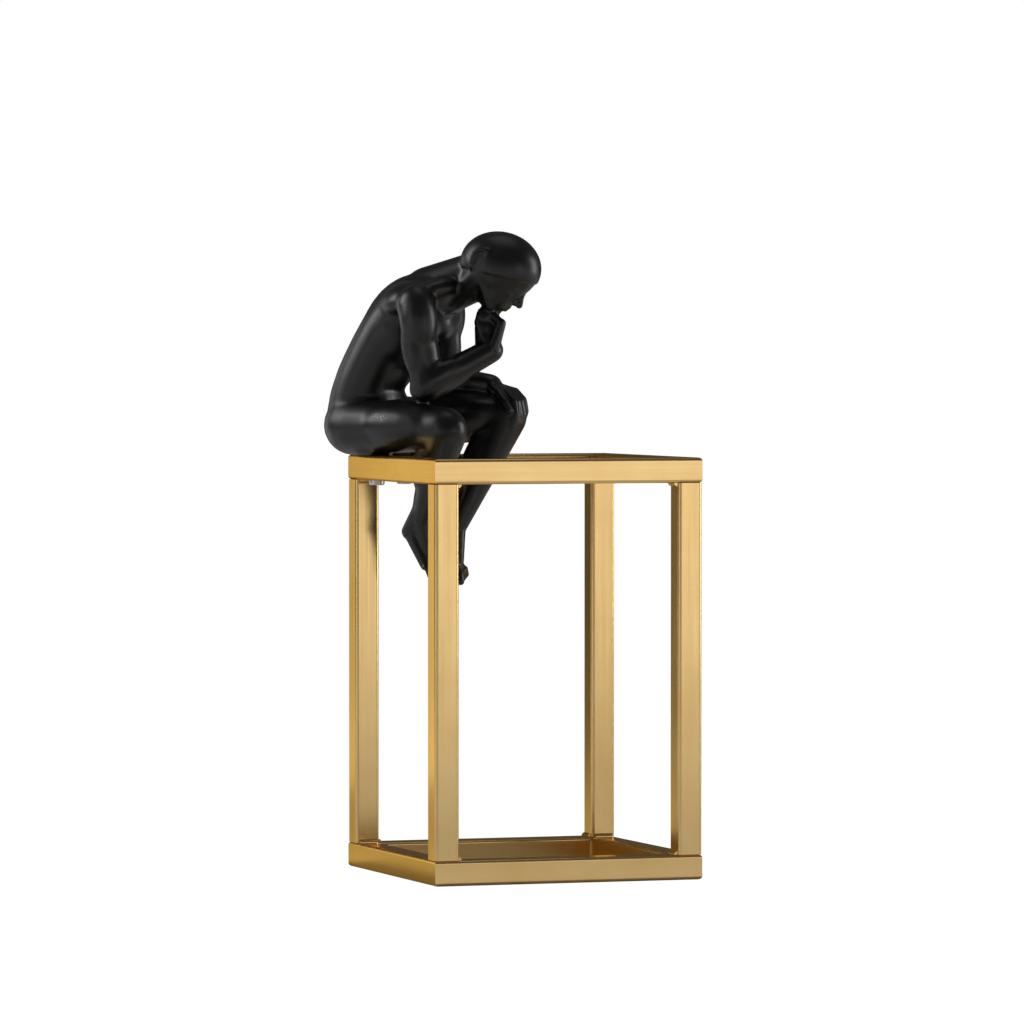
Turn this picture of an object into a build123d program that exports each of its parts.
"""Seated pondering figure on the corner of an open welded cage, as a desk ornament.

The cage is two mitred rings of square tube with four posts welded between them. The cast figure sits on
the back left corner of the top ring, its legs hang inside the cage, and two screws hold it from below.
Lengths are in millimetres, angles in degrees, and +Z is up.
"""

import os

from build123d import *

# Cage
CAGE_WIDTH = 100.0
CAGE_DEPTH = 100.0
CAGE_HEIGHT = 150.0
TUBE_SIZE = 9.0
TUBE_WALL = 1.0
TUBE_CORNER_RADIUS = 1.2
WELD_LEG = 1.2
WELD_CROWN = 0.25

# Fixing screws, and the threaded inserts cast into the figure
SCREW_DIAMETER = 3.0
SCREW_HEAD_DIAMETER = 5.6
SCREW_HEAD_HEIGHT = 1.8
SCREW_HEAD_ROUND = 0.6
SCREW_RECESS_LENGTH = 3.0
SCREW_RECESS_WIDTH = 0.8
SCREW_RECESS_DEPTH = 0.9
SCREW_CORNER_DISTANCE = 15.5
SCREW_TIP_GAP = 0.6
SCREW_CLEARANCE = 0.2
INSERT_DIAMETER = 4.4
INSERT_LENGTH = 5.0
THREAD_CLEARANCE = 0.05
CUT_OVERRUN = 1.0

# Figure: the way it faces on the corner, and its seated height from the seat to the crown
FACING_ANGLE = -45.0
SEATED_HEIGHT = 80.0
HEAD_TURN = 16.0
HEAD_PITCH = 40.0
SKULL_PITCH = 14.0
RIGHT_HAND_TURN = 26.0

# Widest girths of the figure
TORSO_WIDTH = 38.0
TORSO_DEPTH = 28.0
CHEST_DEPTH = 11.0
CHEST_WIDTH = 18.0
CHEST_HEIGHT = 13.0
HIP_DIAMETER = 22.6
THIGH_DIAMETER = 20.4
KNEE_DIAMETER = 17.0
CALF_DIAMETER = 13.4
ANKLE_DIAMETER = 8.0
HEEL_DIAMETER = 7.4
FOOT_WIDTH = 10.0
FOOT_HEIGHT = 8.4
SHOULDER_DIAMETER = 14.4
GIRDLE_DIAMETER = 23.0
TRAPEZIUS_DIAMETER = 13.0
UPPER_ARM_DIAMETER = 12.4
ELBOW_DIAMETER = 10.4
FOREARM_DIAMETER = 10.2
WRIST_DIAMETER = 7.6
PALM_WIDTH = 9.8
PALM_THICKNESS = 5.4
FINGER_DIAMETER = 3.0
THUMB_DIAMETER = 3.8
NECK_DIAMETER = 14.2
SKULL_LENGTH = 30.4
SKULL_WIDTH = 22.0
SKULL_HEIGHT = 24.0
HAIR_THICKNESS = 0.6
FACE_LENGTH = 18.4
FACE_WIDTH = 16.0
FACE_HEIGHT = 22.0
NOSE_DIAMETER = 3.2
EAR_DEPTH = 4.4
EAR_THICKNESS = 2.4
EAR_HEIGHT = 7.6

# Joint places as (forward, left, up) shares of the seated height, from the middle of the corner's top
JOINT_SHARES = {
    "right_hip": (0.035, -0.130, 0.132),
    "left_hip": (0.040, 0.138, 0.132),
    "right_knee": (0.545, -0.265, 0.126),
    "left_knee": (0.590, 0.250, 0.176),
    "right_ankle": (0.365, -0.140, -0.290),
    "left_ankle": (0.450, 0.085, -0.320),
    "right_heel": (0.297, -0.130, -0.345),
    "left_heel": (0.374, 0.090, -0.370),
    "right_toes": (0.425, -0.110, -0.553),
    "left_toes": (0.505, 0.055, -0.558),
    "right_shoulder": (0.393, -0.253, 0.678),
    "left_shoulder": (0.305, 0.235, 0.690),
    "right_elbow": (0.436, -0.248, 0.310),
    "left_elbow": (0.279, 0.308, 0.344),
    "right_chest": (0.355, -0.115, 0.590),
    "left_chest": (0.330, 0.105, 0.590),
    "neck_base": (0.340, 0.000, 0.740),
    "head": (0.690, 0.005, 0.852),
}

# Places of the right hand from the head, under the chin, as shares of the face's height
RIGHT_HAND_SHARES = {
    "right_wrist": (-0.095, -0.156, -1.365),
    "right_knuckles": (0.007, -0.029, -0.938),
    "right_finger_bends": (-0.189, 0.000, -0.807),
    "right_fingertips": (-0.349, 0.011, -0.902),
    "right_thumb_bend": (-0.284, -0.244, -1.127),
    "right_thumb_tip": (-0.393, -0.229, -0.829),
}

# Places of the left hand from the left knee, which it lies over, as shares of the knee's diameter
LEFT_HAND_SHARES = {
    "left_wrist": (-0.433, 0.141, 0.706),
    "left_knuckles": (0.066, 0.047, 0.518),
    "left_finger_bends": (0.395, 0.009, 0.254),
    "left_fingertips": (0.414, -0.019, -0.179),
    "left_thumb_bend": (-0.075, -0.254, 0.499),
    "left_thumb_tip": (0.254, -0.395, 0.132),
}

# Spine stations: (forward, up) shares of the seated height, and (depth, width) shares of the torso
SPINE_PLACE_SHARES = ((0.050, -0.020), (0.038, 0.130), (0.045, 0.330), (0.125, 0.510), (0.250, 0.680), (0.350, 0.780))
SPINE_GIRTH_SHARES = ((0.84, 0.86), (1.00, 1.00), (0.84, 0.80), (0.88, 0.86), (0.88, 0.96), (0.56, 0.62))
SPINE_LEANS = (0.0, -4.0, 8.0, 26.0, 40.0, 48.0)

# Limb profiles as (share of the length, share of the widest diameter)
THIGH_PROFILE_SHARES = ((0.00, 1.00), (0.35, 0.96), (0.75, 0.80), (1.00, 0.75))
CALF_PROFILE_SHARES = ((0.00, 0.98), (0.28, 1.00), (0.65, 0.74), (1.00, 0.53))
UPPER_ARM_PROFILE_SHARES = ((0.00, 1.00), (0.45, 0.98), (0.80, 0.82), (1.00, 0.74))
FOREARM_PROFILE_SHARES = ((0.00, 0.90), (0.25, 1.00), (0.70, 0.80), (1.00, 0.66))
NECK_PROFILE_SHARES = ((0.00, 1.10), (0.50, 0.92), (1.00, 0.96))
GIRDLE_PROFILE_SHARES = ((0.00, 0.58), (0.25, 0.94), (0.75, 0.94), (1.00, 0.58))
TRAPEZIUS_PROFILE_SHARES = ((0.00, 1.00), (0.50, 0.96), (1.00, 0.90))
INSTEP_PROFILE_SHARES = ((0.00, 0.90), (1.00, 0.98))
INSTEP_FOOT_SHARE = 0.34
NOSE_PROFILE_SHARES = ((0.00, 0.50), (0.60, 0.72), (1.00, 0.84))
FINGER_PROFILE_SHARES = ((0.00, 0.88), (1.00, 0.80))
FINGERTIP_SHARE = 0.88

# Foot and palm profiles as (share of the length, share of the width, share of the height)
FOOT_PROFILE_SHARES = ((0.00, 0.64, 0.78), (0.30, 0.74, 1.00), (0.72, 1.00, 0.70), (1.00, 0.80, 0.42))
PALM_PROFILE_SHARES = ((0.00, 0.64, 1.00), (0.45, 0.92, 1.10), (1.00, 1.00, 1.00))
FINGER_SPREAD_SHARES = (-0.36, -0.12, 0.12, 0.36)

# Parts of the head as (forward, left, up) shares of the skull's length, width and height
FACE_PLACE_SHARES = (0.150, 0.0, -0.340)
NOSE_ROOT_SHARES = (0.420, 0.0, -0.150)
NOSE_TIP_SHARES = (0.505, 0.0, -0.380)
EAR_PLACE_SHARES = (-0.100, 0.470, -0.170)
HAIRLINE_SHARES = (-0.100, 0.0, -0.120)

# Sides of the cage's four corners, as signs along X and Y
CORNERS = {
    "front_left": (-1, -1),
    "front_right": (1, -1),
    "back_left": (-1, 1),
    "back_right": (1, 1),
}

FORWARD = Vector(1, 0, 0)
LEFT = Vector(0, 1, 0)


def half_span(span):
    """Distance from the cage's middle to the middle of a tube on its side."""
    return (span - TUBE_SIZE) / 2


def tube_section():
    """Hollow square section of the cage's tube."""
    bore_size = TUBE_SIZE - 2 * TUBE_WALL
    bore = RectangleRounded(bore_size, bore_size, TUBE_CORNER_RADIUS - TUBE_WALL)
    return RectangleRounded(TUBE_SIZE, TUBE_SIZE, TUBE_CORNER_RADIUS) - bore


def mitred_rail(length):
    """Square tube along X, mitred at both ends so that its long side faces -Y."""
    rail = extrude(Plane.YZ * tube_section(), length / 2, both=True)
    for end in (-1, 1):
        cut = Plane(origin=(end * half_span(length), 0, 0), x_dir=(0, 0, 1), z_dir=(end, 1, 0))
        rail = split(rail, bisect_by=cut, keep=Keep.BOTTOM)
    return rail


def build_ring(height):
    """The four rails of a ring with its tubes' middle at a height, by side."""
    across = half_span(CAGE_WIDTH)
    along = half_span(CAGE_DEPTH)
    return {
        "front": Pos(0, -along, height) * mitred_rail(CAGE_WIDTH),
        "back": Pos(0, along, height) * Rot(0, 0, 180) * mitred_rail(CAGE_WIDTH),
        "left": Pos(-across, 0, height) * Rot(0, 0, -90) * mitred_rail(CAGE_DEPTH),
        "right": Pos(across, 0, height) * Rot(0, 0, 90) * mitred_rail(CAGE_DEPTH),
    }


def build_posts():
    """The four posts that stand on the bottom ring and carry the top one, by corner."""
    post = extrude(Plane.XY * tube_section(), CAGE_HEIGHT - 2 * TUBE_SIZE)
    posts = {}
    for corner, (side_x, side_y) in CORNERS.items():
        posts[corner] = Pos(side_x * half_span(CAGE_WIDTH), side_y * half_span(CAGE_DEPTH), TUBE_SIZE) * post
    return posts


def weld_bead(corner, first_leg, second_leg):
    """Fillet weld in an inside corner, with its legs along two faces and a crowned front."""
    middle = WELD_LEG / 2 + WELD_CROWN
    outline = Polyline((WELD_LEG, 0), (0, 0), (0, WELD_LEG)) + ThreePointArc(
        (0, WELD_LEG), (middle, middle), (WELD_LEG, 0)
    )
    plane = Plane(origin=corner, x_dir=first_leg, z_dir=first_leg.cross(second_leg))
    return extrude(plane * make_face(outline), TUBE_SIZE / 2 - TUBE_CORNER_RADIUS, both=True)


def build_ring_welds(ring_height, face_height, up):
    """Welds of one ring: one in each inside corner, and two where each post meets the ring."""
    across = half_span(CAGE_WIDTH)
    along = half_span(CAGE_DEPTH)
    half_tube = TUBE_SIZE / 2
    beads = []
    for side_x, side_y in CORNERS.values():
        inner_x = side_x * (across - half_tube)
        inner_y = side_y * (along - half_tube)
        to_x = Vector(-side_x, 0, 0)
        to_y = Vector(0, -side_y, 0)
        to_post = Vector(0, 0, up)
        beads.append(weld_bead(Vector(inner_x, inner_y, ring_height), to_x, to_y))
        beads.append(weld_bead(Vector(inner_x, side_y * along, face_height), to_x, to_post))
        beads.append(weld_bead(Vector(side_x * across, inner_y, face_height), to_y, to_post))
    return Compound([bead.solid() for bead in beads])


def screw_offsets():
    """Places of the two fixing screws from the middle of the corner's top: along the left and back rails."""
    return Vector(0, -SCREW_CORNER_DISTANCE, 0), Vector(SCREW_CORNER_DISTANCE, 0, 0)


def seat_corner():
    """Middle of the back left corner's top, which the figure sits on."""
    return Vector(-half_span(CAGE_WIDTH), half_span(CAGE_DEPTH), CAGE_HEIGHT)


def upright_cylinder(diameter, bottom, top):
    """Cylinder on the Z axis between two heights."""
    return Pos(0, 0, bottom) * extrude(Plane.XY * Circle(diameter / 2), top - bottom)


def build_screw():
    """Pan head screw with its shank on +Z, its head under the rail and the rail's top at zero."""
    seat = -TUBE_SIZE
    head = upright_cylinder(SCREW_HEAD_DIAMETER, seat - SCREW_HEAD_HEIGHT, seat)
    head = fillet(head.edges().group_by(Axis.Z)[0], SCREW_HEAD_ROUND)
    recess = Rectangle(SCREW_RECESS_LENGTH, SCREW_RECESS_WIDTH) + Rectangle(SCREW_RECESS_WIDTH, SCREW_RECESS_LENGTH)
    head -= extrude(Pos(0, 0, seat - SCREW_HEAD_HEIGHT) * recess, SCREW_RECESS_DEPTH)
    return head + upright_cylinder(SCREW_DIAMETER, seat, INSERT_LENGTH - SCREW_TIP_GAP)


def build_insert():
    """Threaded insert that stands in the figure from the rail's top upwards."""
    bore = upright_cylinder(SCREW_DIAMETER + 2 * THREAD_CLEARANCE, -CUT_OVERRUN, INSERT_LENGTH + CUT_OVERRUN)
    return upright_cylinder(INSERT_DIAMETER, 0, INSERT_LENGTH) - bore


def screw_hole():
    """Hole through both walls of the rail."""
    return upright_cylinder(SCREW_DIAMETER + 2 * SCREW_CLEARANCE, -TUBE_SIZE - CUT_OVERRUN, CUT_OVERRUN)


def joint(name):
    """Place of a joint in the figure's own frame, the hands' joints from what they rest on."""
    if name in RIGHT_HAND_SHARES:
        return joint("head") + Vector(*RIGHT_HAND_SHARES[name]) * FACE_HEIGHT
    if name in LEFT_HAND_SHARES:
        return joint("left_knee") + Vector(*LEFT_HAND_SHARES[name]) * KNEE_DIAMETER
    return Vector(*JOINT_SHARES[name]) * SEATED_HEIGHT


def section_plane(place, direction, side):
    """Plane at a place, square to a direction, with its X axis as near to a side as that allows."""
    normal = direction.normalized()
    across = side - normal * side.dot(normal)
    return Plane(origin=place, x_dir=across.normalized(), z_dir=normal)


def limb(start, end, diameter, profile_shares, side=LEFT):
    """Round limb from start to end with a tapering profile."""
    run = end - start
    sections = []
    for along, girth in profile_shares:
        sections.append(section_plane(start + run * along, run, side) * Circle(diameter * girth / 2))
    return loft(sections)


def flat_limb(start, end, width, height, profile_shares, side=LEFT):
    """Limb of oval section from start to end, wide along a side."""
    run = end - start
    sections = []
    for along, wide, high in profile_shares:
        plane = section_plane(start + run * along, run, side)
        sections.append(plane * Ellipse(width * wide / 2, height * high / 2))
    return loft(sections)


def ball(place, diameter, along):
    """Ball that rounds the meeting of two limbs, with its poles inside them."""
    return section_plane(place, along, LEFT) * Sphere(diameter / 2)


def ellipsoid(place, length, width, height):
    """Ellipsoid with its length forward."""
    unit_ball = Sphere(1)
    return Pos(*place) * scale(unit_ball, by=(length / 2, width / 2, height / 2))


def build_torso():
    """Trunk from the seat to the root of the neck, as a loft along the bent spine."""
    sections = []
    for (forward, up), (deep, wide), lean in zip(SPINE_PLACE_SHARES, SPINE_GIRTH_SHARES, SPINE_LEANS):
        place = Vector(forward, 0, up) * SEATED_HEIGHT
        plane = Plane(origin=place) * Rot(0, lean, 0)
        sections.append(plane * Ellipse(TORSO_DEPTH * deep / 2, TORSO_WIDTH * wide / 2))
    return loft(sections)


def build_seat_masses():
    """Trunk, hips and thighs, cut flat where they rest on the rails."""
    masses = [build_torso()]
    for side in ("right", "left"):
        hip = joint(side + "_hip")
        knee = joint(side + "_knee")
        masses.append(ball(hip, HIP_DIAMETER, knee - hip))
        masses.append(limb(hip, knee, THIGH_DIAMETER, THIGH_PROFILE_SHARES))
        masses.append(ball(knee, KNEE_DIAMETER, knee - hip))
    under = Box(SEATED_HEIGHT * 2, SEATED_HEIGHT * 2, SEATED_HEIGHT, align=(Align.CENTER, Align.CENTER, Align.MAX))
    return [mass - under for mass in masses]


def build_lower_legs():
    """Shins and feet, which hang inside the cage."""
    masses = []
    for side in ("right", "left"):
        ankle = joint(side + "_ankle")
        heel = joint(side + "_heel")
        toes = joint(side + "_toes")
        knee = joint(side + "_knee")
        masses.append(limb(knee, ankle, CALF_DIAMETER, CALF_PROFILE_SHARES))
        masses.append(ball(ankle, ANKLE_DIAMETER, ankle - knee))
        instep = heel + (toes - heel) * INSTEP_FOOT_SHARE
        masses.append(limb(ankle, instep, ANKLE_DIAMETER, INSTEP_PROFILE_SHARES))
        masses.append(ball(heel, HEEL_DIAMETER, toes - heel))
        masses.append(flat_limb(heel, toes, FOOT_WIDTH, FOOT_HEIGHT, FOOT_PROFILE_SHARES))
    return masses


def hand_side(side):
    """The way the fingers of a hand lie beside each other."""
    return LEFT.rotate(Axis.Z, RIGHT_HAND_TURN) if side == "right" else LEFT


def build_arms():
    """Shoulder girdle, chest, arms to the wrists, and the palms."""
    masses = [limb(joint("right_shoulder"), joint("left_shoulder"), GIRDLE_DIAMETER, GIRDLE_PROFILE_SHARES, FORWARD)]
    for side in ("right", "left"):
        shoulder = joint(side + "_shoulder")
        elbow = joint(side + "_elbow")
        wrist = joint(side + "_wrist")
        knuckles = joint(side + "_knuckles")
        masses.append(ellipsoid(joint(side + "_chest"), CHEST_DEPTH, CHEST_WIDTH, CHEST_HEIGHT))
        masses.append(ball(shoulder, SHOULDER_DIAMETER, elbow - shoulder))
        masses.append(limb(joint("neck_base"), shoulder, TRAPEZIUS_DIAMETER, TRAPEZIUS_PROFILE_SHARES, FORWARD))
        masses.append(limb(shoulder, elbow, UPPER_ARM_DIAMETER, UPPER_ARM_PROFILE_SHARES))
        masses.append(ball(elbow, ELBOW_DIAMETER, wrist - elbow))
        masses.append(limb(elbow, wrist, FOREARM_DIAMETER, FOREARM_PROFILE_SHARES))
        masses.append(ball(wrist, WRIST_DIAMETER, wrist - elbow))
        masses.append(flat_limb(wrist, knuckles, PALM_WIDTH, PALM_THICKNESS, PALM_PROFILE_SHARES, hand_side(side)))
    return masses


def digit(places, diameter):
    """Finger or thumb through its joints, with a rounded joint at each."""
    masses = []
    for start, end in zip(places, places[1:]):
        masses.append(ball(start, diameter, end - start))
        masses.append(limb(start, end, diameter, FINGER_PROFILE_SHARES))
    return masses + [ball(places[-1], diameter * FINGERTIP_SHARE, places[-1] - places[-2])]


def build_digits():
    """Masses of each finger and thumb: the right hand curled under the chin, the left laid over the knee."""
    digits = []
    for side in ("right", "left"):
        for spread in FINGER_SPREAD_SHARES:
            aside = hand_side(side) * (PALM_WIDTH * spread)
            names = ("_knuckles", "_finger_bends", "_fingertips")
            digits.append(digit([joint(side + name) + aside for name in names], FINGER_DIAMETER))
        names = ("_wrist", "_thumb_bend", "_thumb_tip")
        digits.append(digit([joint(side + name) for name in names], THUMB_DIAMETER))
    return digits


def head_place(shares):
    """Place on the head from shares of the skull's sizes."""
    forward, left, up = shares
    return Vector(forward * SKULL_LENGTH, left * SKULL_WIDTH, up * SKULL_HEIGHT)


def build_hair():
    """Close cap of hair over the skull, with its edge as a step along the hairline."""
    growth = 2 * HAIR_THICKNESS
    cap = ellipsoid(Vector(0, 0, 0), SKULL_LENGTH + growth, SKULL_WIDTH + growth, SKULL_HEIGHT + growth)
    below = Box(SKULL_LENGTH * 2, SKULL_WIDTH * 2, SKULL_HEIGHT, align=(Align.CENTER, Align.CENTER, Align.MAX))
    return cap - Pos(*head_place(HAIRLINE_SHARES)) * below


def build_head():
    """Head with a plain face, bowed and turned, and the neck that carries it."""
    root = head_place(NOSE_ROOT_SHARES)
    tip = head_place(NOSE_TIP_SHARES)
    features = [
        ellipsoid(head_place(FACE_PLACE_SHARES), FACE_LENGTH, FACE_WIDTH, FACE_HEIGHT),
        limb(root, tip, NOSE_DIAMETER, NOSE_PROFILE_SHARES),
        ball(tip, NOSE_DIAMETER, tip - root),
    ]
    for side in (-1, 1):
        forward, left, up = EAR_PLACE_SHARES
        ear = head_place((forward, side * left, up))
        features.append(ellipsoid(ear, EAR_DEPTH, EAR_THICKNESS, EAR_HEIGHT))
    skull = [ellipsoid(Vector(0, 0, 0), SKULL_LENGTH, SKULL_WIDTH, SKULL_HEIGHT), build_hair()]
    turned = Pos(*joint("head")) * Rot(0, 0, HEAD_TURN)
    masses = [turned * Rot(0, SKULL_PITCH, 0) * mass for mass in skull]
    masses += [turned * Rot(0, HEAD_PITCH, 0) * feature for feature in features]
    masses.append(limb(joint("neck_base"), joint("head"), NECK_DIAMETER, NECK_PROFILE_SHARES))
    return masses


def insert_pockets():
    """Pockets for the inserts in the underside, in the figure's own frame."""
    pocket = upright_cylinder(INSERT_DIAMETER, -CUT_OVERRUN, INSERT_LENGTH)
    return [Rot(0, 0, -FACING_ANGLE) * Pos(*offset) * pocket for offset in screw_offsets()]


def joined(masses):
    """Masses fused to one shape."""
    return masses[0].fuse(*masses[1:])


def build_figure():
    """The whole casting in its own frame, with the seat at zero and forward on +X."""
    trunk = joined(build_seat_masses()).cut(*insert_pockets())
    body = joined([trunk] + build_lower_legs())
    body = joined([body] + build_arms())
    body = joined([body, joined(build_head())])
    for digit_masses in build_digits():
        body = joined([body, joined(digit_masses)])
    return body


def place_figure(shape):
    """Set a shape from the figure's frame on the middle of the back left corner's top."""
    return Pos(*seat_corner()) * Rot(0, 0, FACING_ANGLE) * shape


def build_nodes():
    """Every node of the ornament by name, about the middle of the cage's footprint."""
    nodes = {}
    top_height = CAGE_HEIGHT - TUBE_SIZE / 2
    for side, rail in build_ring(TUBE_SIZE / 2).items():
        nodes["bottom_rail_" + side] = rail
    for side, rail in build_ring(top_height).items():
        nodes["top_rail_" + side] = rail
    for corner, post in build_posts().items():
        nodes["post_" + corner] = post
    nodes["bottom_ring_welds"] = build_ring_welds(TUBE_SIZE / 2, TUBE_SIZE, 1)
    nodes["top_ring_welds"] = build_ring_welds(top_height, CAGE_HEIGHT - TUBE_SIZE, -1)
    nodes["figure"] = place_figure(build_figure())
    screws = []
    inserts = []
    for rail, offset in zip(("top_rail_left", "top_rail_back"), screw_offsets()):
        spot = Pos(*(seat_corner() + offset))
        nodes[rail] -= spot * screw_hole()
        screws.append((spot * build_screw()).solid())
        inserts.append((spot * build_insert()).solid())
    nodes["fixing_screws"] = Compound(screws)
    nodes["threaded_inserts"] = Compound(inserts)
    return nodes


def main():
    """Move the origin to the bottom middle of the whole ornament and write one file per node."""
    nodes = build_nodes()
    boxes = [node.bounding_box() for node in nodes.values()]
    left = min(box.min.X for box in boxes)
    right = max(box.max.X for box in boxes)
    front = min(box.min.Y for box in boxes)
    back = max(box.max.Y for box in boxes)
    origin = Pos(-(left + right) / 2, -(front + back) / 2, 0)
    os.makedirs("parts", exist_ok=True)
    for name, node in nodes.items():
        placed = [origin * solid for solid in node.solids()]
        export_step(Compound(placed), "parts/" + name + ".step")


if __name__ == "__main__":
    main()
